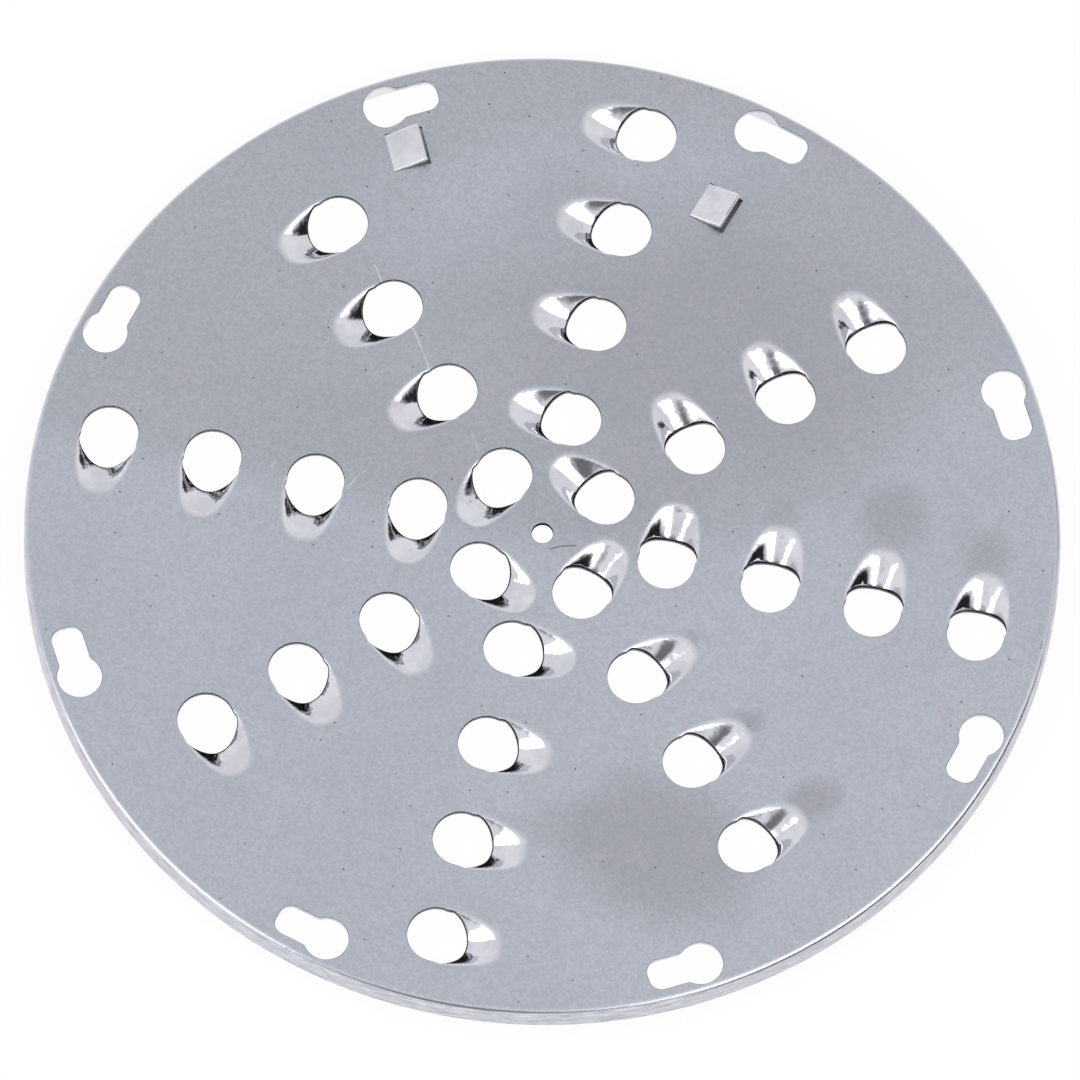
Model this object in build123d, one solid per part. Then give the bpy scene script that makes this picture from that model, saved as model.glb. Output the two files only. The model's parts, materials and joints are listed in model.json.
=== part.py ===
from build123d import *
import os
from math import atan2, cos, radians, sin, sqrt

# Plate and rim, in millimetres
disc_diameter = 228.6
sheet = 1.2
rim_bend = 1.5            # outside radius where the plate turns down into the rim
bend_bevels = 2           # flat bevels that follow the bend
rim_clearance = 1.6       # the rim reaches this far below the scoops, so the disc lies on its rim
centre_hole_diameter = 4.76

# Tooth holes: rows step in from the rim by half a pitch, on the even and the odd arms by turns
tooth_hole_diameter = 12.7
tooth_pitch = 23.4        # between the holes of one arm
edge_margin = 16.0        # from the disc's edge to the centres of the outer row
hub_radius = 16.0         # no tooth hole is centred nearer to the middle
arms_per_row = 4
inner_row_turn = 22.5     # the innermost scoops turn inwards to pass the next arm

# Scoop pressed down behind each hole: a tilted trough that rises to the plate at its tail
scoop_side = 0.15         # the trough reaches this far past the hole on each side
lip_setback = 0.4         # the lip's arc stands this far outside the trough's sides
scoop_depth = 3.6         # of the trough's floor at the lip, under the plate's face
scoop_run = 8.4           # from the lip back to the tail

# Keyhole slots that turn onto the studs of the plate holder
slot_count = 8
slot_first_angle = -14.0
slot_head_diameter = 9.95
slot_neck_width = 7.1
slot_reach = 12.0         # from the head's centre to the end of the neck
slot_head_setback = 3.0   # the head's centre lies this far behind the slot's own angle
slot_neck_corner = 2.8
slot_throat_round = 1.5
slot_land = 0.2           # between the slot's head and the bend of the rim

# Locating tabs, cut on three sides and bent up, each at a margin from the disc's edge and an angle
outer_tab_margin = 17.8
outer_tab_angle = 121.8
inner_tab_margin = 27.25
inner_tab_angle = 77.6
tab_length = 8.2
tab_width = 8.8
tab_bend_inside = 1.0
tab_rise_angle = 22.5
tab_skew = 4.0            # turned in plan, off the circle's tangent
tab_gap = 0.2             # shear gap round the three cut sides

# Worked-out sizes
disc_radius = disc_diameter / 2
hole_radius = tooth_hole_diameter / 2
scoop_radius = hole_radius + scoop_side
lip_radius = scoop_radius + lip_setback
scoop_start = sqrt(lip_radius**2 - scoop_radius**2)
scoop_tail = lip_radius + scoop_run
scoop_slope = atan2(scoop_depth, scoop_run)
plate_top = scoop_depth + sheet / cos(scoop_slope) + rim_clearance
slot_head_radius = slot_head_diameter / 2
slot_circle_radius = disc_radius - rim_bend - slot_land - slot_head_radius
through = 4 * plate_top   # length of a tool that passes right through the plate


def on_plate(radius, angle, turn=0.0):
    """A place on the plate's face: X runs counter-clockwise along the circle, then is turned."""
    centre = (radius * cos(radians(angle)), radius * sin(radians(angle)), plate_top)
    return Location(centre, (0, 0, angle + 90 + turn))


def dish():
    """The blank: a disc with its edge turned down into a short rim."""
    turns = [radians(90 * step / bend_bevels) for step in range(bend_bevels + 1)]
    bend_r, bend_z = disc_radius - rim_bend, plate_top - rim_bend
    section = Polyline(
        (0, 0, plate_top),
        *[(bend_r + rim_bend * sin(turn), 0, bend_z + rim_bend * cos(turn)) for turn in turns],
        (disc_radius, 0, 0),
        (disc_radius - sheet, 0, 0),
        (disc_radius - sheet, 0, plate_top - sheet),
        (0, 0, plate_top - sheet),
        close=True,
    )
    return revolve(make_face(section), Axis.Z)


def tilted_rod(radius):
    """The punch of a scoop: a rod whose axis slopes down from behind the tail to the lip."""
    axis_point = (scoop_tail - scoop_radius * sin(scoop_slope), 0, scoop_radius * cos(scoop_slope))
    slope = Plane(axis_point, z_dir=(-cos(scoop_slope), 0, -sin(scoop_slope)))
    return slope * Cylinder(radius, 4 * scoop_tail)


def behind_start(top):
    """The space behind the line where a scoop begins, up to a height over the plate's face."""
    reach = 2 * scoop_tail
    block = Box(reach, reach, 2 * through, align=(Align.MIN, Align.CENTER, Align.MAX))
    return Pos(scoop_start, 0, top) * block


def scoop_bulge():
    """The underside of one scoop, bulging out of the plate, with the hole's centre at the origin."""
    return tilted_rod(scoop_radius + sheet) & behind_start(-sheet / 2)


def tooth_opening():
    """What one tooth opens in the plate: the round hole, the lip's wider arc and the trough."""
    hole = Cylinder(hole_radius, through)
    lip = Cylinder(lip_radius, through) & behind_start(through)
    trough = tilted_rod(scoop_radius) & behind_start(sheet)
    return hole + lip + trough


def tooth_places():
    """Every tooth's place: four to a row, the rows a half pitch apart from the rim inwards."""
    places = []
    radius = disc_radius - edge_margin
    row = 0
    while radius >= hub_radius:
        innermost = radius - tooth_pitch / 2 < hub_radius
        for arm in range(arms_per_row):
            angle = (arm + row % 2 / 2) * 360 / arms_per_row
            places.append(on_plate(radius, angle, inner_row_turn if innermost else 0.0))
        radius -= tooth_pitch / 2
        row += 1
    return places


def keyhole():
    """One slot: a round head to pass a stud, and a narrower neck with rounded corners to hold it."""
    neck = Rectangle(slot_reach, slot_neck_width, align=(Align.MIN, Align.CENTER))
    neck = fillet(neck.vertices().group_by(Axis.X)[-1], slot_neck_corner)
    throat_x = sqrt(slot_head_radius**2 - (slot_neck_width / 2) ** 2)
    slot = Circle(slot_head_radius) + neck
    throat = slot.vertices().sort_by_distance((throat_x, 0))[:2]
    slot = Pos(slot_head_setback, 0) * Rot(0, 0, 180) * fillet(throat, slot_throat_round)
    return extrude(slot, amount=through / 2, both=True)


def tab():
    """One bent tab, hinged at the origin and rising towards -X, with the sheet's face at zero."""
    bend = radians(tab_rise_angle)
    straight = tab_length - bend * (tab_bend_inside + sheet / 2)
    centre = Vector(0, 0, tab_bend_inside)
    middle = Vector(-sin(bend / 2), 0, -cos(bend / 2))
    across = Vector(-sin(bend), 0, -cos(bend))
    run = Vector(-cos(bend), 0, sin(bend)) * straight
    upper = centre + across * tab_bend_inside
    lower = centre + across * (tab_bend_inside + sheet)
    outline = [
        ThreePointArc((0, 0, 0), centre + middle * tab_bend_inside, upper),
        Polyline(upper, upper + run, lower + run, lower),
        ThreePointArc(lower, centre + middle * (tab_bend_inside + sheet), (0, 0, -sheet)),
        Line((0, 0, -sheet), (0, 0, 0)),
    ]
    return extrude(make_face(outline), amount=tab_width / 2, both=True)


def tab_window():
    """The opening that a tab leaves: the tab's own plan and a shear gap on three sides."""
    window = Box(tab_length + tab_gap, tab_width + 2 * tab_gap, 4 * sheet)
    return Pos(-(tab_length + tab_gap) / 2, 0, 0) * window


def shredder_disc():
    """The whole plate: blank, scoops, holes, slots and tabs, as one piece of sheet."""
    teeth = tooth_places()
    slot_step = 360 / slot_count
    slots = [on_plate(slot_circle_radius, slot_first_angle + slot_step * i) for i in range(slot_count)]
    tab_places = ((outer_tab_margin, outer_tab_angle), (inner_tab_margin, inner_tab_angle))
    hinges = [
        on_plate(disc_radius - margin, angle, -tab_skew) * Pos(tab_length / 2, 0, 0)
        for margin, angle in tab_places
    ]
    bulge, opening, slot = scoop_bulge(), tooth_opening(), keyhole()
    plate = dish() + [place * bulge for place in teeth]
    plate -= [place * opening for place in teeth] + [place * slot for place in slots]
    plate -= Cylinder(centre_hole_diameter / 2, through)
    plate -= [hinge * tab_window() for hinge in hinges]
    return plate + [hinge * tab() for hinge in hinges]


os.makedirs("parts", exist_ok=True)
export_step(shredder_disc(), "parts/shredder_disc.step")
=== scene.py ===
import json
import math

import bmesh
import bpy
import numpy as np
from mathutils import Matrix, Vector
from mathutils.geometry import delaunay_2d_cdt


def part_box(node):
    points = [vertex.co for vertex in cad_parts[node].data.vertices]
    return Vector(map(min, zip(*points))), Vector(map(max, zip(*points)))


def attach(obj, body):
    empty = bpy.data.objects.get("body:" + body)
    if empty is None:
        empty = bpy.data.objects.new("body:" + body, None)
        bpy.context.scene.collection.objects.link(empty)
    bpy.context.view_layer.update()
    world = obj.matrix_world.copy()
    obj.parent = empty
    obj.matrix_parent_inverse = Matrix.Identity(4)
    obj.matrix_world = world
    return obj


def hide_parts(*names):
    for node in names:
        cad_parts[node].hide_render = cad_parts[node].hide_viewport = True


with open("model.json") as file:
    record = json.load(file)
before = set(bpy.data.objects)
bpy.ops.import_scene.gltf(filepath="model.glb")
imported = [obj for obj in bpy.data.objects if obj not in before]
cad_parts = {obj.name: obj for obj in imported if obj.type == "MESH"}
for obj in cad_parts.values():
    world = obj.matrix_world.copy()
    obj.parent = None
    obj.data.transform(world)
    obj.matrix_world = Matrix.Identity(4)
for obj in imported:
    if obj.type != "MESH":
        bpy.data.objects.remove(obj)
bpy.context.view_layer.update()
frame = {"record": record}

MM = 0.001

# The sheet: one blank of cold-rolled steel, about as thick as a coin and left as it came from the mill.
# Everything below is punched, sheared or pressed out of it, so all of it is one mesh.
# Lengths are in millimetres, and the mesh is scaled to metres when it is sewn together.
node = "shredder_disc"
mounts = {mount["name"]: mount for mount in frame["record"]["mounts"]}
disc_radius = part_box(node)[1].x / MM
plate_top = mounts["keyhole_ring"]["pos_m"][2] / MM
sheet = mounts["centre_hole"]["dims"]["length_mm"]
die_roll = 0.12                      # the punch draws the top edge of every hole down by this much
roll_steps = np.array([0.0, 0.12, 0.45, 1.0]) * die_roll
clean_shear = 0.45                   # depth to which the punch cuts before the sheet tears through
finishes = ["skin", "grime_and_painted_shade_wall", "sheared_edge"]
surfaces = []                        # points, faces, smooth or flat, press marks and finish of every grid


def add_surface(points, faces, smooth=True, press=None, finish="skin"):
    """Keeps one surface of the sheet. press gives each point's place along and across its scoop, and how
    strongly the draw has polished it. Below nought it marks a thin dark line of painted shade along the edge
    of an opening."""
    points = points.reshape(-1, 3)
    press = np.zeros((len(points), 3)) if press is None else press.reshape(-1, 3)
    surfaces.append((points, [tuple(face) for face in faces.tolist()], smooth, press, finish))


def grid_faces(rows, columns, closed, flip=False):
    """Quads of a grid of points numbered row by row. A closed grid joins its last row to the first."""
    row = np.arange(rows if closed else rows - 1)[:, None]
    column = np.arange(columns - 1)[None, :]
    following = (row + 1) % rows
    corners = [row * columns + column, following * columns + column,
               following * columns + column + 1, row * columns + column + 1]
    quads = np.stack([corner + 0 * (row + column) for corner in corners], axis=-1).reshape(-1, 4)
    return quads[:, ::-1] if flip else quads


def stacked_faces(copies, rows, columns, flip=False):
    """The quads of several closed grids of one size, whose points follow each other."""
    one = grid_faces(rows, columns, True, flip)
    return (one[None] + (np.arange(copies) * rows * columns)[:, None, None]).reshape(-1, 4)


def arc(centre, radius, start, end, count):
    """Points on a circle from one angle to another, in degrees, both ends included."""
    angle = np.radians(np.linspace(start, end, count))
    return np.stack([centre[0] + radius * np.cos(angle), centre[1] + radius * np.sin(angle)], axis=-1)


def roll_depth(distance):
    """How far the face is drawn down at a distance from an opening's edge: a quarter of a circle."""
    inward = 1 - np.minimum(distance / die_roll, 1)
    return die_roll * (1 - np.sqrt(1 - inward**2))


def at_depths(plans, columns, depths):
    """The chosen columns of grids that are seen from above, set at depths under the plate's face."""
    chosen = plans[:, :, columns]
    height = np.broadcast_to(plate_top - np.asarray(depths), chosen.shape[:3])
    return np.concatenate([chosen, height[..., None]], axis=-1)


# The teeth: round holes punched in rows that step in from the rim, each with a scoop pressed down behind it.
# A scoop is a trough that is deepest at the hole's cutting lip and rises to the face at its tail.
# Its metal is drawn over the die, which leaves a soft bend along the edge and bright drawn marks inside.
rows_of_teeth, teeth_in_row = 8, 4
first_row_margin, row_step = 16.0, 11.7
inner_row_turn = 22.5                # the innermost scoops turn inwards to pass the next arm
row = np.repeat(np.arange(rows_of_teeth), teeth_in_row)
arm = np.tile(np.arange(teeth_in_row), rows_of_teeth)
tooth_radius = disc_radius - first_row_margin - row * row_step
tooth_angle = np.radians((arm + row % 2 / 2) * 360 / teeth_in_row)
tooth_centre = tooth_radius[:, None] * np.stack([np.cos(tooth_angle), np.sin(tooth_angle)], axis=-1)
tail_angle = tooth_angle + np.radians(90 + np.where(row == rows_of_teeth - 1, inner_row_turn, 0))

hole_radius = 6.35
lip_radius = 6.9
scoop_slope = math.radians(24.2)     # of the trough's floor
scoop_tail = 14.8                    # where the floor meets the plate's face
tail_bend = 1.0                      # the floor rounds into the face over this length
scoop_half = 7.4                     # half the width of the trough beside the hole
scoop_length = 17.6                  # where the sides of the trough would meet
bell_power = 2.3
scoop_front = 2.3                    # the lip starts this far behind the hole's centre
front_fade = 2.6                     # the trough's side runs out in front of the lip over this length


def smooth_step(share):
    """A share, kept between nought and one, with a level start and end."""
    share = np.clip(share, 0, 1)
    return share**2 * (3 - 2 * share)


def drop_below_face(u, v):
    """How far the scoop's face lies under the plate's, at a place behind the hole's centre and beside it. Its
    floor falls in a straight line from the tail to the lip, after a parabola that rounds the tail. Across it
    the drop is a bell that comes to nothing at the sides, and the sides run together along an ellipse. In
    front of the lip the drop fades out."""
    before_tail = scoop_tail - u
    rounded = np.clip(before_tail + tail_bend, 0, None) ** 2 / (4 * tail_bend)
    floor_drop = np.where(before_tail < tail_bend, rounded, before_tail) * math.tan(scoop_slope)
    half_width = scoop_half * np.sqrt(1 - np.clip(u / scoop_length, 0, 0.99) ** 2)
    bell = (1 - np.clip(np.abs(v) / half_width, 0, 1) ** bell_power) ** bell_power
    return floor_drop * bell * smooth_step((u - scoop_front + front_fade) / front_fade)


# The hole's edge, by angles from the tail: the lip's wider arc runs out into the round hole on both sides
lip_points, hole_points = 59, 27
lip_reach, notch_run = 82, 16        # degrees to the end of the lip's arc, and over which it runs out
edge_angle = np.concatenate([np.linspace(-76, 76, lip_points), np.linspace(80, 280, hole_points)])
lip_share = smooth_step((lip_reach - np.abs((edge_angle + 180) % 360 - 180)) / notch_run)
edge_radius = hole_radius + (lip_radius - hole_radius) * lip_share
edge_angle = np.radians(edge_angle)
edge_loop = edge_radius[:, None] * np.stack([np.cos(edge_angle), np.sin(edge_angle)], axis=-1)
flare_width, flare_depth = 0.42, 0.22  # the last of the metal before the lip is bent down further
flare_steps = np.array([0.3, 0.6, 1.0])
outer_steps = np.linspace(0.1, 1, 10)
# The flat plate starts outside an egg round the hole and its scoop, blunt behind and an ellipse in front
egg_side, egg_front = 7.3, hole_radius + 0.25
blunt = 2 / 2.3
egg_angle = np.radians(np.concatenate([np.linspace(-80, 80, lip_points), np.linspace(84, 276, hole_points)]))
egg_fade = 0.25                      # share of the way out to the egg over which the drop comes to nothing
bright_drop = 0.4                    # metal that is drawn down by this much is fully burnished


def press_teeth(chosen, egg_tail):
    """Presses the chosen teeth. A grid runs from the edge of the hole straight out to the egg, with close
    steps on the rolled edge and on the lip's flare, which falls off as a parabola. Returns the eggs, as seen
    from above."""
    egg_u, egg_v = np.cos(egg_angle), np.sin(egg_angle)
    egg_loop = np.stack([
        np.where(egg_u > 0, egg_tail * np.abs(egg_u) ** blunt, egg_front * egg_u),
        egg_side * np.sign(egg_v) * np.abs(egg_v) ** np.where(egg_u > 0, blunt, 1),
    ], axis=-1)
    across = egg_loop - edge_loop
    reach = np.linalg.norm(across, axis=-1)[:, None]
    rolled = np.broadcast_to(roll_steps, (len(reach), len(roll_steps)))
    flare = die_roll + np.minimum(flare_width - die_roll, (reach - die_roll) / 2) * flare_steps
    outer = flare[:, -1:] + (reach - flare[:, -1:]) * outer_steps
    far = np.concatenate([rolled, flare, outer], axis=1)
    plan = edge_loop[:, None, :] + across[:, None, :] * (far / reach)[..., None]
    flared = flare_depth * lip_share[:, None] * np.clip(1 - far / flare_width, 0, 1) ** 2
    pressed = drop_below_face(plan[..., 0], plan[..., 1]) + flared
    pressed = pressed * smooth_step((1 - far / reach) / egg_fade)
    burnished_and_edge_shade = np.clip(pressed / bright_drop, 0, 1)
    # the rolled edge is marked below nought, for a thin dark line of painted shade
    burnished_and_edge_shade[:, :len(roll_steps) - 1] = -1
    marks = np.concatenate([plan, burnished_and_edge_shade[..., None]], axis=-1)

    # The outward axis makes a left-handed pair with the axis to the tail, so loops run clockwise from above
    to_tail = np.stack([np.cos(tail_angle), np.sin(tail_angle)], axis=-1)[chosen, None, None, :]
    outward = np.stack([np.sin(tail_angle), -np.cos(tail_angle)], axis=-1)[chosen, None, None, :]
    u, v = plan[None, ..., :1], plan[None, ..., 1:]
    plans = tooth_centre[chosen, None, None, :] + u * to_tail + v * outward
    copies, count, width = plans.shape[:3]
    every = list(range(width))
    add_surface(at_depths(plans, every, pressed + roll_depth(far)), stacked_faces(copies, count, width),
                press=np.broadcast_to(marks, (copies,) + marks.shape))
    under = [0] + list(range(len(roll_steps) - 1, width - 1, 2)) + [width - 1]
    add_surface(at_depths(plans, under, pressed[:, under] + sheet),
                stacked_faces(copies, count, len(under), flip=True))
    # The punch shears the first part of the wall cleanly, and the rest tears off pale. The clean band is
    # dark, partly grime and partly painted shade inside the hole.
    bands = ((die_roll, clean_shear, "grime_and_painted_shade_wall"), (clean_shear, sheet, "sheared_edge"))
    for top, bottom, finish in bands:
        wall = at_depths(plans, [0, 0], pressed[:, :1] + np.array([bottom, top]))
        add_surface(wall, stacked_faces(copies, count, 2), finish=finish,
                    press=np.broadcast_to(marks[:, :2], (copies, count, 2, 3)))
    return plans[:, :, -1]


# The scoops of the two innermost rows have less room behind them than the others
crowded = row >= rows_of_teeth - 2
long_egg_tail, short_egg_tail = 17.5, 15.5
egg_loops = np.concatenate([press_teeth(~crowded, long_egg_tail), press_teeth(crowded, short_egg_tail)])

# The keyhole slots near the rim, and the small hole in the middle: plain punched openings with square walls.
# A stud of the plate holder goes in at a slot's round head, and the disc is turned until the neck holds it.
# The edges are as the punch leaves them, drawn down a little on the face and sharp underneath.
slot_count, slot_first_angle = 8, -14.0
head_radius, neck_width, slot_reach = 4.975, 7.1, 12.0
head_shift = 3.0                     # the head's centre lies this far behind the slot's own angle
neck_corner, throat_round = 2.8, 1.5
head_circle = mounts["keyhole_ring"]["dims"]["pcd_mm"] / 2
slot_circle = math.sqrt(head_circle**2 - head_shift**2)
half_neck = neck_width / 2
throat_x = math.sqrt((head_radius + throat_round) ** 2 - (half_neck + throat_round) ** 2)
throat_y = half_neck + throat_round
throat_angle = math.degrees(math.atan2(throat_y, throat_x))
neck_x, neck_y = slot_reach - neck_corner, half_neck - neck_corner
keyhole = np.concatenate([
    arc((0, 0), head_radius, throat_angle, 360 - throat_angle, 40),
    arc((throat_x, -throat_y), throat_round, 180 - throat_angle, 90, 8)[1:],
    arc((neck_x, -neck_y), neck_corner, -90, 0, 12),
    arc((neck_x, neck_y), neck_corner, 0, 90, 12),
    arc((throat_x, throat_y), throat_round, -90, throat_angle - 180, 8)[:-1],
])
keyhole = np.array([head_shift, 0]) - keyhole
slot_angle = np.radians(slot_first_angle + np.arange(slot_count) * 360 / slot_count)
centre_hole_radius = mounts["centre_hole"]["dims"]["r_mm"]
centre_hole = arc((0, 0), centre_hole_radius, 0, 360, 49)[:-1]


def outward_normals(loop):
    """Unit normals of a loop that runs counter-clockwise: the way from the point before to the point after,
    turned right."""
    ahead = np.roll(loop, -1, axis=0) - np.roll(loop, 1, axis=0)
    normal = np.stack([ahead[:, 1], -ahead[:, 0]], axis=-1)
    return normal / np.linalg.norm(normal, axis=-1, keepdims=True)


def punch(loop, turns, origin, finish):
    """Lines an opening at each turned copy of a loop: a rolled edge on the face, a straight wall, and a
    narrow flat band underneath. Returns the loops that the plate starts from, a roll's width further out."""
    normal = outward_normals(loop)
    plan = loop[:, None, :] + normal[:, None, :] * roll_steps[None, :, None]
    x, y = plan[None, ..., 0] + origin[0], plan[None, ..., 1] + origin[1]
    cosine, sine = np.cos(turns)[:, None, None], np.sin(turns)[:, None, None]
    plans = np.stack([cosine * x - sine * y, sine * x + cosine * y], axis=-1)
    copies, count, width = plans.shape[:3]
    marks = np.zeros((copies, count, width, 3))
    # the rolled edge is marked below nought, for a thin dark line of painted shade
    marks[:, :, :-1, 2] = -1
    every = list(range(width))
    add_surface(at_depths(plans, every, roll_depth(roll_steps)),
                stacked_faces(copies, count, width, flip=True), press=marks)
    add_surface(at_depths(plans, [0, 0], [sheet, die_roll]), stacked_faces(copies, count, 2, flip=True),
                press=marks[:, :, :2], finish=finish)
    add_surface(at_depths(plans, [0, width - 1], [sheet, sheet]), stacked_faces(copies, count, 2))
    return plans[:, :, -1]


# A slot lies across the radius with its head on the counter-clockwise side, and the studs wear its wall pale
slot_loop = np.stack([-keyhole[:, 1], keyhole[:, 0]], axis=-1)
slot_loops = punch(slot_loop, slot_angle, (slot_circle, 0), "sheared_edge")
centre_loops = punch(centre_hole, np.zeros(1), (0, 0), "grime_and_painted_shade_wall")

# The two locating tabs: sheared on three sides and bent up on the fourth, so each stands over its own window.
# They are the bare sheet, with the shear's bright edge round them.
# The bend is tight, and the free end stands about three millimetres over the plate.
tab_margin = np.array([17.8, 27.25])
tab_angle = np.radians([121.8, 77.6])
tab_length, tab_width, tab_gap = 8.2, 8.8, 0.2
tab_bend_inside = 1.0
tab_rise = math.radians(22.5)
tab_skew = math.radians(4.0)
tab_edge = 0.25                      # rounding of the sheared edges
corner_points = 4
hinge = tab_length / 2
half_tab, half_window = tab_width / 2, tab_width / 2 + tab_gap
window_end = hinge - tab_length - tab_gap
window = np.array([(hinge, -half_tab), (hinge, half_tab), (hinge, half_window),
                   (window_end, half_window), (window_end, -half_window), (hinge, -half_window)])


def section_of_tab(radius, inset):
    """Closed section across a tab, as places across and depths: a rectangle with four rounded corners, inset
    all round towards the free end."""
    wide, top, bottom = half_tab - inset, inset, sheet - inset
    return np.concatenate([
        arc((wide - radius, top + radius), radius, -90, 0, corner_points),
        arc((wide - radius, bottom - radius), radius, 0, 90, corner_points),
        arc((radius - wide, bottom - radius), radius, 90, 180, corner_points),
        arc((radius - wide, top + radius), radius, 180, 270, corner_points),
    ])


bend_turn = np.linspace(0, tab_rise, 6)
straight = tab_length - tab_rise * (tab_bend_inside + sheet / 2)
end_turn = np.radians([0, 30, 60, 90])
along_end = straight - tab_edge * (1 - np.sin(end_turn))
along_straight = np.concatenate([[straight / 3, 2 * straight / 3], along_end])
section_turn = np.concatenate([bend_turn, np.full(len(along_straight), tab_rise)])
section_run = np.concatenate([np.zeros(len(bend_turn)), along_straight])
end_inset = tab_edge * (1 - np.cos(end_turn))
section_inset = np.concatenate([np.zeros(len(section_turn) - len(end_turn)), end_inset])
section_corner = np.where(section_turn == 0, 0.0, tab_edge) - section_inset
sections = np.stack([section_of_tab(*sizes) for sizes in zip(section_corner, section_inset)])
# A section's place is on the bend's circle and then on its tangent, and its depth runs away from that circle
path_x = hinge - tab_bend_inside * np.sin(section_turn) - section_run * np.cos(section_turn)
path_z = tab_bend_inside * (1 - np.cos(section_turn)) + section_run * np.sin(section_turn)
tab_x = path_x[:, None] - sections[..., 1] * np.sin(section_turn)[:, None]
tab_z = plate_top + path_z[:, None] - sections[..., 1] * np.cos(section_turn)[:, None]
tab_points = np.stack([tab_x, sections[..., 0], tab_z], axis=-1)
wall_plan = np.roll(window, -1, axis=0)
window_walls = np.stack([np.concatenate([wall_plan, np.full((len(window), 1), height)], axis=-1)
                         for height in (plate_top - sheet, plate_top)], axis=1)
tab_cap = np.arange(sections.shape[1])[None, :] + (len(sections) - 1) * sections.shape[1]
tab_faces = grid_faces(sections.shape[1], len(sections), True)
tab_row, tab_column = np.divmod(np.arange(len(tab_faces)), len(sections) - 1)
broad = tab_row % (2 * corner_points) == 2 * corner_points - 1
unbent = (tab_column >= len(bend_turn) - 1) & (tab_column < len(sections) - len(end_turn))
tab_press = np.zeros(tab_points.transpose(1, 0, 2).shape)
tab_press[:, 1:, 2] = 1.0
window_loops = []
for margin, angle in zip(tab_margin, tab_angle):
    tab_heading = angle + math.pi / 2 - tab_skew
    cosine, sine = math.cos(tab_heading), math.sin(tab_heading)
    turned = np.array([[cosine, -sine, 0], [sine, cosine, 0], [0, 0, 1]]).T
    tab_centre = (disc_radius - margin) * np.array([math.cos(angle), math.sin(angle), 0])
    around = tab_points.transpose(1, 0, 2) @ turned + tab_centre
    add_surface(around, tab_faces[broad & unbent], smooth=False, press=tab_press)
    add_surface(around, tab_faces[broad & ~unbent], press=tab_press)
    add_surface(around, tab_faces[~broad], press=tab_press, finish="sheared_edge")
    add_surface(tab_points @ turned + tab_centre, tab_cap, press=tab_press.transpose(1, 0, 2),
                finish="sheared_edge")
    # The window's walls are dark: painted shade in the gap under the tab.
    add_surface(window_walls @ turned + tab_centre, grid_faces(len(window), 2, False, flip=True),
                smooth=False, finish="grime_and_painted_shade_wall")
    window_loops.append(window @ turned[:2, :2] + tab_centre[:2])

# The rim: the edge of the sheet turned down all round over a die, square to the plate.
# Its bend is the same sheet with a tight radius, polished by handling.
# The cut edge below, with its burr taken off, is what the disc lies on.
rim_points = 360
rim_bend = 1.5
cut_edge = 0.2
inside_bend = rim_bend - sheet
bend_angle = np.radians(np.linspace(90, 0, 10))
inside_angle = bend_angle[::-3]
below_angle = np.radians(np.linspace(0, -90, 4))
rim_r = np.concatenate([
    disc_radius - rim_bend + rim_bend * np.cos(bend_angle),
    disc_radius - cut_edge + cut_edge * np.cos(below_angle),
    disc_radius - sheet + cut_edge - cut_edge * np.cos(below_angle[::-1]),
    disc_radius - rim_bend + inside_bend * np.cos(inside_angle),
])
rim_z = np.concatenate([
    plate_top - rim_bend + rim_bend * np.sin(bend_angle),
    cut_edge + cut_edge * np.sin(below_angle),
    cut_edge + cut_edge * np.sin(below_angle[::-1]),
    plate_top - rim_bend + inside_bend * np.sin(inside_angle),
])
rim_polish = np.concatenate([
    1 - 0.5 * np.cos(bend_angle) ** 4 - np.sin(bend_angle) ** 4,
    np.full(len(below_angle), 0.5),
    np.ones(len(below_angle)),
    [1, 1, 0.5, 0],
])
rim_angle = np.radians(np.arange(rim_points) * 360 / rim_points)[:, None]
rim = np.stack([rim_r * np.cos(rim_angle), rim_r * np.sin(rim_angle), rim_z + 0 * rim_angle], axis=-1)
rim_press = np.zeros(rim.shape)
rim_press[..., 2] = rim_polish
add_surface(rim, grid_faces(rim_points, len(rim_r), True, flip=True), press=rim_press)

# The flat of the plate, what the punches leave between the openings: its face and its underside.
# It is the one stretch of sheet that no tool has bent, so it is filled with plain flat triangles.
loops = [rim[:, 0, :2], *egg_loops[:, ::-1], *slot_loops, *centre_loops, *window_loops]
ends = np.cumsum([len(loop) for loop in loops])
numbered = [list(range(end - len(loop), end)) for end, loop in zip(ends, loops)]
outline = [Vector(point) for point in np.concatenate(loops)]
filled = delaunay_2d_cdt(outline, [], numbered, 1, 1e-7)
flat_points = np.array([tuple(point) for point in filled[0]])
flat_faces = np.array([face for face, within in zip(filled[2], filled[5]) if within == [0]])
for height, order in ((plate_top, 1), (plate_top - sheet, -1)):
    heights = np.full((len(flat_points), 1), height)
    add_surface(np.concatenate([flat_points, heights], axis=-1), flat_faces[:, ::order], smooth=False)

# All surfaces are sewn into one closed sheet
weld_distance = 1e-3
sharp_angle = math.radians(48)
first_points = np.cumsum([0] + [len(surface[0]) for surface in surfaces[:-1]])
sheet_points = np.concatenate([surface[0] for surface in surfaces])
sheet_faces = [tuple(point + int(first) for point in face)
               for first, surface in zip(first_points, surfaces) for face in surface[1]]
sheet_smooth = np.concatenate([np.full(len(surface[1]), surface[2]) for surface in surfaces])
sheet_press = np.concatenate([surface[3] for surface in surfaces])
sheet_finish = np.concatenate([np.full(len(surface[1]), finishes.index(surface[4])) for surface in surfaces])
mesh = bpy.data.meshes.new("pressed_plate")
mesh.from_pydata(sheet_points * MM, [], sheet_faces)
mesh.attributes.new("press", "FLOAT_VECTOR", "POINT").data.foreach_set("vector", sheet_press.ravel())
sewn = bmesh.new()
sewn.from_mesh(mesh)
bmesh.ops.remove_doubles(sewn, verts=sewn.verts, dist=weld_distance * MM)
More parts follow.
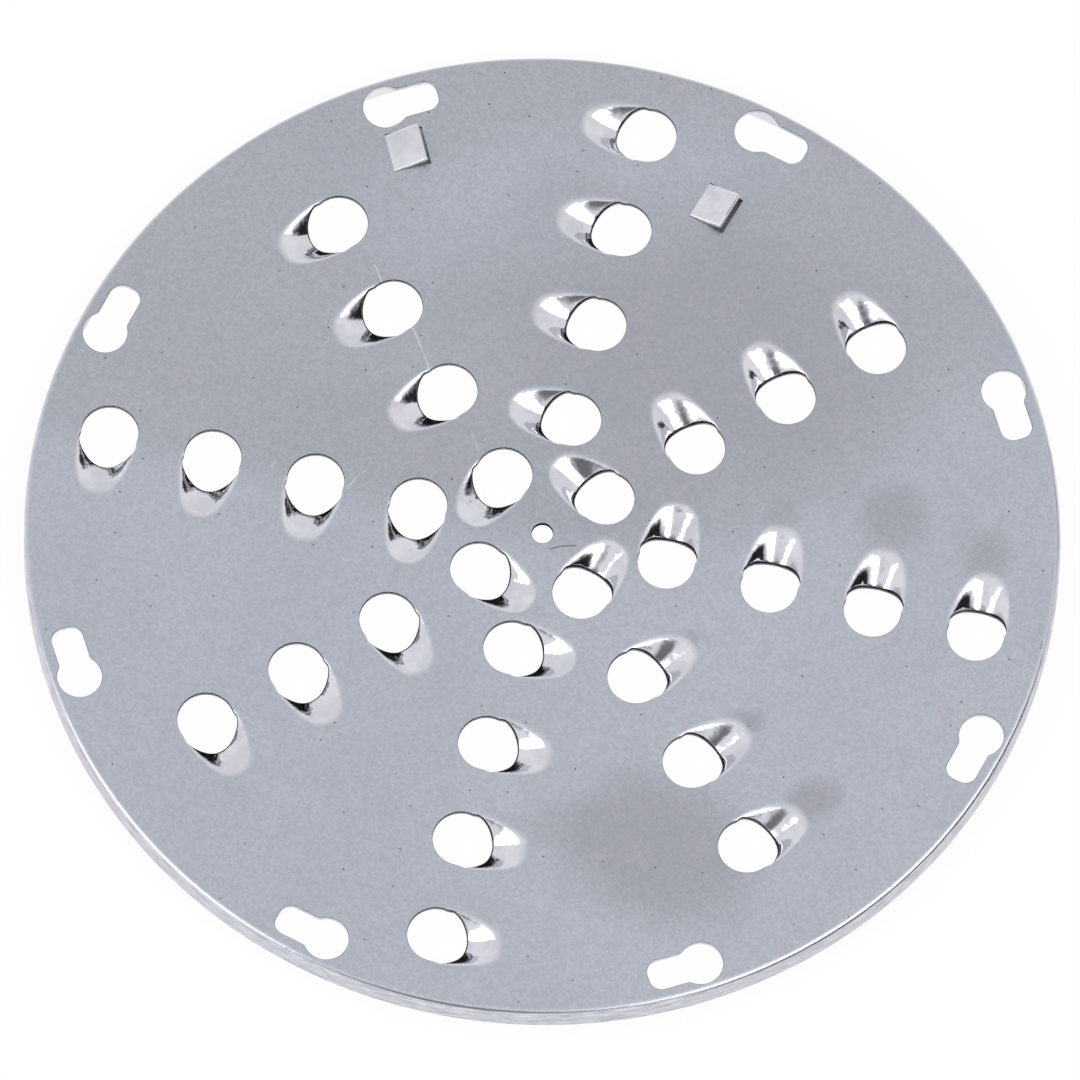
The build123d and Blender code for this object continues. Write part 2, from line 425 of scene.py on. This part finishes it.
sewn.to_mesh(mesh)
sewn.free()
mesh.set_sharp_from_angle(angle=sharp_angle)
mesh.polygons.foreach_set("use_smooth", sheet_smooth)
mesh.polygons.foreach_set("material_index", sheet_finish)
plate = bpy.data.objects.new("pressed_plate", mesh)
bpy.context.scene.collection.objects.link(plate)

# The steel: cold-rolled sheet with a dull bluish skin, faintly clouded, with darker patches, scratches and
# specks. The patches behind some teeth are painted shade.
# Where the scoops are drawn over the die and along the rim's bend, the skin is burnished bright and smooth.
# Draw marks run lengthwise down every scoop, and a thin dark line of painted shade runs along the edge of
# every opening.
steel = bpy.data.materials.new("mill_finish_steel")
steel.use_nodes = True
tree = steel.node_tree


def add_node(tree, kind, inputs, output=0, **settings):
    """Adds a shader node and gives one output. An input is a plain value or the socket that feeds it."""
    made = tree.nodes.new("ShaderNode" + kind)
    for name, value in settings.items():
        setattr(made, name, value)
    for key, value in inputs.items():
        if isinstance(value, bpy.types.NodeSocket):
            tree.links.new(value, made.inputs[key])
        else:
            made.inputs[key].default_value = value
    return made.outputs[output]


def math_of(tree, operation, first, second=0.0):
    """A number worked out from two others."""
    return add_node(tree, "Math", {0: first, 1: second}, operation=operation)


def times(tree, first, second):
    """The product of two numbers."""
    return math_of(tree, "MULTIPLY", first, second)


def ramp(tree, value, start, end, low=0.0, high=1.0):
    """A smooth step from low to high while a value goes from start to end."""
    limits = {"Value": value, "From Min": start, "From Max": end, "To Min": low, "To Max": high}
    return add_node(tree, "MapRange", limits, interpolation_type="SMOOTHSTEP")


def tinted(tree, share, first, second):
    """A colour that goes from the first to the second by a share."""
    return add_node(tree, "Mix", {0: share, 6: first, 7: second}, output=2, data_type="RGBA")


def scaled(tree, vector, factors):
    """A vector with each of its parts multiplied by a factor."""
    return add_node(tree, "VectorMath", {0: vector, 1: factors}, operation="MULTIPLY")


place = tree.nodes.new("ShaderNodeTexCoord").outputs["Object"]
marked = add_node(tree, "Attribute", {}, output="Vector", attribute_name="press")
burnish_and_edge_shade = add_node(tree, "SeparateXYZ", {0: marked}, output="Z")
flat_x = add_node(tree, "SeparateXYZ", {0: place}, output="X")
flat_y = flat_x.node.outputs["Y"]
clouds = add_node(tree, "TexNoise", {"Vector": place, "Scale": 28, "Detail": 4, "Roughness": 0.6})
blush = add_node(tree, "TexNoise", {"Vector": place, "Scale": 150, "Detail": 4, "Roughness": 0.65})
grain = add_node(tree, "TexNoise", {"Vector": place, "Scale": 1300, "Detail": 3, "Roughness": 0.65})
uneven = math_of(tree, "SUBTRACT", clouds, 0.5)


def on_plate(x, y, turn, length, width):
    """Coordinates on the plate from a place in millimetres, turned and measured in a length and a width."""
    frame_of_mark = {"Vector": place, "Location": (x * MM, y * MM, plate_top * MM), "Rotation": (0, 0, turn),
                     "Scale": (length * MM, width * MM, 1)}
    return add_node(tree, "Mapping", frame_of_mark, vector_type="TEXTURE")


def patch(x, y, half_length, half_width, degrees):
    """An oval on the plate, one in its middle and nought outside, with a soft and uneven border."""
    centred = on_plate(x, y, math.radians(degrees), half_length, half_width)
    out = add_node(tree, "VectorMath", {0: centred}, output="Value", operation="LENGTH")
    return ramp(tree, math_of(tree, "ADD", out, times(tree, uneven, 1.1)), 1.3, 0.4)


def scratch(start, end, bow, width):
    """A thin line on a shallow arc between two places, one along its middle and nought beside it. The arc is
    a parabola that stands off the straight line by the bow at its middle."""
    length = math.dist(start, end)
    turn = math.atan2(end[1] - start[1], end[0] - start[0])
    along = add_node(tree, "SeparateXYZ", {0: on_plate(*start, turn, length, length)}, output="X")
    rest = math_of(tree, "SUBTRACT", 1.0, along)
    curve = times(tree, times(tree, along, rest), 4 * bow / length)
    aside = math_of(tree, "ABSOLUTE", math_of(tree, "SUBTRACT", along.node.outputs["Y"], curve))
    faded = times(tree, ramp(tree, along, 0.0, 0.06), ramp(tree, rest, 0.0, 0.06))
    return times(tree, ramp(tree, aside, width / length, 0.3 * width / length), faded)


# The half with the tabs is a shade darker, with a border across the middle that turns up on the right. A pale
# patch lies in it near the rim, and darker patches lie here and there; the six just behind the tails of teeth
# are painted shade round those scoops.
wavy_y = math_of(tree, "ADD", flat_y, times(tree, uneven, 0.012))
turned_up = math_of(tree, "SUBTRACT", flat_y, flat_x)
half = times(tree, ramp(tree, wavy_y, -0.008, 0.003), ramp(tree, turned_up, -0.045, -0.006))
pale_patch = patch(-12, 81, 50, 20, 22)
darker_and_painted_shade = times(tree, times(tree, half, 0.47), math_of(tree, "SUBTRACT", 1.0, pale_patch))
for strength, *oval in (
    (0.50, 22, 52, 54, 40, -20),
    (0.20, -32, 14, 62, 15, -2),
    (1.00, 43, -67, 21, 20, 10),
    (0.40, 22, -67, 18, 6, 12),
    # these six, just behind the tails of teeth, are painted shade round those scoops
    (0.70, 74.4, 22.3, 7, 9, 0),
    (0.70, 96.4, 18.3, 6, 7, 0),
    (0.50, 50.9, 16, 4, 5, 0),
    (1.00, 72.6, -47, 7, 5, 30),
    (0.90, 54, -33, 5, 4, 30),
    (0.60, 37, -17, 3.5, 3, 30),
):
    darker_and_painted_shade = math_of(tree, "ADD", darker_and_painted_shade, times(tree, patch(*oval), strength))
darker_and_painted_shade = math_of(tree, "MINIMUM", darker_and_painted_shade, 1.15)
blue_skin, pale_skin = (0.459, 0.487, 0.555, 1), (0.489, 0.515, 0.581, 1)
darker_and_shade_skin, pink_skin, dark_grain = (0.390, 0.397, 0.441, 1), (0.46, 0.435, 0.49, 1), (0.33, 0.345, 0.39, 1)
skin = tinted(tree, ramp(tree, clouds, 0.3, 0.7), blue_skin, pale_skin)
skin = tinted(tree, darker_and_painted_shade, skin, darker_and_shade_skin)
skin = tinted(tree, ramp(tree, blush, 0.48, 0.72, 0, 0.4), skin, pink_skin)
grain_strength = math_of(tree, "ADD", times(tree, darker_and_painted_shade, 0.30), 0.42)
skin = tinted(tree, times(tree, ramp(tree, grain, 0.34, 0.66), grain_strength), skin, dark_grain)

# Specks, in some cells of a loose net, and then scratches
from_speck = add_node(tree, "TexVoronoi", {"Vector": place, "Scale": 90}, voronoi_dimensions="2D")
lot = add_node(tree, "SeparateColor", {0: from_speck.node.outputs["Color"]})
speck = times(tree, ramp(tree, from_speck, 0.026, 0.012), ramp(tree, lot, 0.55, 0.6, 0, 0.75))
skin = tinted(tree, speck, skin, (0.06, 0.06, 0.07, 1))
bright_scratch, dark_scratch = (0.72, 0.72, 0.76, 1), (0.10, 0.10, 0.11, 1)
broken = ramp(tree, blush, 0.3, 0.5, 0.3, 1.0)
for start, end, bow, width, strength, shade in (
    ((-51.3, 53.4), (-48.6, 49.4), 0.1, 0.20, 0.7, bright_scratch),
    ((-39.9, 41.0), (-33.4, 31.5), 0.3, 0.22, 0.7, bright_scratch),
    ((-20.9, 19.4), (-18.2, 15.4), 0.1, 0.20, 0.4, bright_scratch),
    ((-49.8, 1.7), (-43.6, -0.4), 0.2, 0.22, 0.5, bright_scratch),
    ((-44.3, -0.3), (-41.3, 5.1), 0.3, 0.25, 0.7, bright_scratch),
    ((-61.7, 0.4), (-61.1, 2.3), 0.1, 0.25, 0.5, bright_scratch),
    ((2.3, -3.5), (8.2, -1.1), 0.4, 0.22, 0.8, dark_scratch),
):
    line = times(tree, scratch(start, end, bow, width), strength)
    skin = tinted(tree, times(tree, line, broken), skin, shade)

# Burnished metal, then the rim's wall, which the table scuffs in dashes along it, and the thin dark line of
# painted shade along the edges of openings
drawn_colour = tinted(tree, ramp(tree, blush, 0.35, 0.65), (0.63, 0.625, 0.685, 1), (0.75, 0.745, 0.805, 1))
colour = tinted(tree, ramp(tree, burnish_and_edge_shade, 0.0, 1.0, 0.0, 0.92), skin, drawn_colour)
sideways = scaled(tree, place, (1, 1, 0))
from_axis = add_node(tree, "VectorMath", {0: sideways}, output="Value", operation="LENGTH")
on_wall = ramp(tree, from_axis, (disc_radius - 0.6) * MM, (disc_radius - 0.1) * MM)
dash_place = scaled(tree, place, (1, 1, 9))
dashes = add_node(tree, "TexNoise", {"Vector": dash_place, "Scale": 230, "Detail": 4, "Roughness": 0.7})
scuffed = tinted(tree, ramp(tree, dashes, 0.32, 0.66), (0.46, 0.455, 0.51, 1), (0.78, 0.775, 0.84, 1))
colour = tinted(tree, on_wall, colour, scuffed)
# a thin dark line of painted shade along the edge of every opening
colour = tinted(tree, ramp(tree, burnish_and_edge_shade, 0.0, -1.0, 0.0, 0.85), colour, (0.05, 0.05, 0.055, 1))
rough = ramp(tree, burnish_and_edge_shade, 0.0, 1.0, 0.42, 0.09)
rough = math_of(tree, "ADD", rough, times(tree, on_wall, 0.2))

# The draw marks are fine streaks down the scoop over broader dents, and no two scoops have the same ones
along_scoop = scaled(tree, marked, (0.2, 1.0, 0))
moved = {0: place, 1: (20, 20, 20), 2: along_scoop}
streak_place = add_node(tree, "VectorMath", moved, operation="MULTIPLY_ADD")
streaks = add_node(tree, "TexNoise", {"Vector": streak_place, "Scale": 1.0, "Detail": 2, "Roughness": 0.55})
dents = add_node(tree, "TexNoise", {"Vector": place, "Scale": 260, "Detail": 2, "Roughness": 0.5})
draw_marks = math_of(tree, "ADD", times(tree, dents, 5.0), streaks)
draw_marks = times(tree, draw_marks, math_of(tree, "MAXIMUM", burnish_and_edge_shade, 0.0))
relief = add_node(tree, "Bump", {"Strength": 0.55, "Distance": 0.05 * MM, "Height": draw_marks})
shader = tree.nodes["Principled BSDF"]
tree.links.new(colour, shader.inputs["Base Color"])
tree.links.new(rough, shader.inputs["Roughness"])
tree.links.new(relief, shader.inputs["Normal"])
shader.inputs["Metallic"].default_value = 1.0


def cut_steel(name, dark, pale, roughness):
    """Steel where a tool has cut through it, with fine lines down the cut."""
    material = bpy.data.materials.new(name)
    material.use_nodes = True
    cut_tree = material.node_tree
    where = cut_tree.nodes.new("ShaderNodeTexCoord").outputs["Object"]
    stretched = scaled(cut_tree, where, (1, 1, 0.15))
    lines = add_node(cut_tree, "TexNoise", {"Vector": stretched, "Scale": 500, "Detail": 3})
    cut = cut_tree.nodes["Principled BSDF"]
    cut_colour = tinted(cut_tree, ramp(cut_tree, lines, 0.35, 0.65), dark, pale)
    cut_tree.links.new(cut_colour, cut.inputs["Base Color"])
    cut.inputs["Roughness"].default_value = roughness
    cut.inputs["Metallic"].default_value = 1.0
    return material


mesh.materials.append(steel)
# The dark walls are partly grime and partly painted shade, in the holes and in the gaps under the tabs.
mesh.materials.append(cut_steel("grime_and_painted_shade_wall", (0.04, 0.04, 0.045, 1), (0.34, 0.335, 0.35, 1), 0.45))
mesh.materials.append(cut_steel("sheared_edge", (0.86, 0.86, 0.90, 1), (0.97, 0.97, 1.0, 1), 0.7))
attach(plate, "root")
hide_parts(node)

# The floor: plain white paper. To the eye it is as bright as the background, with a faint shadow at the disc.
# Mirrored in the metal it is white too. Under the outer tenth of the disc it glows white for the rim's inside
# wall to mirror, which is painted light; further in its colour is painted nearly black as shade, where the
# openings let in little light.
# The eye looks down at a slant past the tabs, and there the paper's own shadow shows.
scene = bpy.context.scene
floor_half = 3.0
floor_corners = [(-1, -1), (1, -1), (1, 1), (-1, 1)]
floor_mesh = bpy.data.meshes.new("floor")
floor_mesh.from_pydata([(x * floor_half, y * floor_half, 0) for x, y in floor_corners], [], [(0, 1, 2, 3)])
floor = bpy.data.objects.new("floor", floor_mesh)
scene.collection.objects.link(floor)
paper = bpy.data.materials.new("white_paper")
paper.use_nodes = True
floor_mesh.materials.append(paper)
paper_tree = paper.node_tree
paper_tree.nodes.remove(paper_tree.nodes["Principled BSDF"])
ray = paper_tree.nodes.new("ShaderNodeLightPath").outputs
spot = paper_tree.nodes.new("ShaderNodeTexCoord").outputs["Object"]
from_middle = add_node(paper_tree, "VectorMath", {0: spot}, output="Value", operation="LENGTH")
past_disc = ramp(paper_tree, from_middle, 0.99 * disc_radius * MM, 1.01 * disc_radius * MM)
eye = math_of(paper_tree, "MAXIMUM", ray["Is Camera Ray"], ray["Is Transmission Ray"])
eye = times(paper_tree, eye, ramp(paper_tree, past_disc, 0, 1, 0.98, 0.9))
slant = 2.5                          # from below a tab to the paper that is seen past it, along Y
for margin, angle in zip(tab_margin, tab_angle):
    from_centre = disc_radius - margin
    seen = (from_centre * math.cos(angle) * MM, (from_centre * math.sin(angle) + slant) * MM, 0)
    from_seen = add_node(paper_tree, "VectorMath", {0: spot, 1: seen}, output="Value", operation="DISTANCE")
    eye = times(paper_tree, eye, ramp(paper_tree, from_seen, 5.8 * MM, 7.8 * MM))
# Mirrored, the paper under the disc's rim glows white as painted light, and further in it is painted nearly
# black as shade.
near_rim = ramp(paper_tree, from_middle, 0.90 * disc_radius * MM, 0.96 * disc_radius * MM)
mirrored_white_and_painted_glow = times(paper_tree, ray["Is Glossy Ray"], near_rim)
painted_shade_under_disc = times(paper_tree, ray["Is Glossy Ray"], math_of(paper_tree, "SUBTRACT", 1.0, near_rim))
paper_and_painted_shade = tinted(paper_tree, painted_shade_under_disc, (0.85, 0.85, 0.85, 1), (0.06, 0.06, 0.06, 1))
lit = add_node(paper_tree, "BsdfDiffuse", {"Color": paper_and_painted_shade})
white = add_node(paper_tree, "Emission", {"Color": (1, 1, 1, 1), "Strength": 1.0})
backdrop_and_painted_glow = math_of(paper_tree, "MAXIMUM", eye, mirrored_white_and_painted_glow)
shown = add_node(paper_tree, "MixShader", {0: backdrop_and_painted_glow, 1: lit, 2: white})
paper_tree.links.new(shown, paper_tree.nodes["Material Output"].inputs["Surface"])

# The light: a pale room with two soft boxes, a wide one on the right and a smaller one on the left.
# The room is dark behind the camera and low down on the right, which the bright scoops mirror as black bands.
scene.view_settings.view_transform = "Standard"
camera_azimuth, camera_elevation, camera_roll = (math.radians(angle) for angle in (11.42, 67.52, 2.54))
right = Vector((math.cos(camera_azimuth), math.sin(camera_azimuth), 0))
away = Vector((-math.sin(camera_azimuth), math.cos(camera_azimuth), 0))


def direction(turn, height):
    """The direction at an angle clockwise from straight away from the camera, and at a height in degrees."""
    turn, height = math.radians(turn), math.radians(height)
    level = math.sin(turn) * right + math.cos(turn) * away
    return math.cos(height) * level + Vector((0, 0, math.sin(height)))


world = bpy.data.worlds.new("studio")
scene.world = world
world.use_nodes = True
world_tree = world.node_tree
sky = world_tree.nodes.new("ShaderNodeTexCoord").outputs["Generated"]
brightness = 0.95
for turn, height, core, edge, shade in (
    (190, 38, 11, 27, 0.22),
    (98, 13, 12, 23, 0.02),
    (133, 16, 12, 23, 0.02),
    (61, 11, 4, 10, 0.04),
):
    zone = {0: sky, 1: direction(turn, height)}
    near = add_node(world_tree, "VectorMath", zone, output="Value", operation="DOT_PRODUCT")
    in_zone = ramp(world_tree, near, math.cos(math.radians(edge)), math.cos(math.radians(core)))
    brightness = add_node(world_tree, "Mix", {0: in_zone, 2: brightness, 3: shade})
world_tree.links.new(brightness, world_tree.nodes["Background"].inputs["Strength"])
world_tree.nodes["Background"].inputs["Color"].default_value = (1, 1, 1, 1)

box_distance = 2.0
box_radiance = 2.6
for name, turn, height, width, depth in (("right_box", 122, 51, 44, 27), ("left_box", 245, 38, 33, 29)):
    box = bpy.data.lights.new(name, "AREA")
    box.shape = "RECTANGLE"
    box.size = 2 * box_distance * math.tan(math.radians(width) / 2)
    box.size_y = 2 * box_distance * math.tan(math.radians(depth) / 2)
    box.energy = box_radiance * math.pi * box.size * box.size_y
    lamp = bpy.data.objects.new(name, box)
    lamp.location = direction(turn, height) * box_distance
    lamp.rotation_mode = "QUATERNION"
    lamp.rotation_quaternion = direction(turn, height).to_track_quat("Z", "Y")
    scene.collection.objects.link(lamp)

# The camera: a very long lens, high over the near side, turned a little on its axis
camera_lens = 1352
camera_distance = 8.943
camera_aim = Vector((-0.12, -1.74, 6.5)) * MM
back = direction(180, math.degrees(camera_elevation))
camera_data = bpy.data.cameras.new("camera")
camera_data.lens = camera_lens
camera_data.clip_end = 50
camera = bpy.data.objects.new("camera", camera_data)
camera.rotation_mode = "QUATERNION"
upright = Matrix((right, back.cross(right), back)).transposed()
camera.rotation_quaternion = upright.to_quaternion() @ Matrix.Rotation(camera_roll, 3, "Z").to_quaternion()
camera.location = camera_aim + back * camera_distance
scene.collection.objects.link(camera)
scene.camera = camera
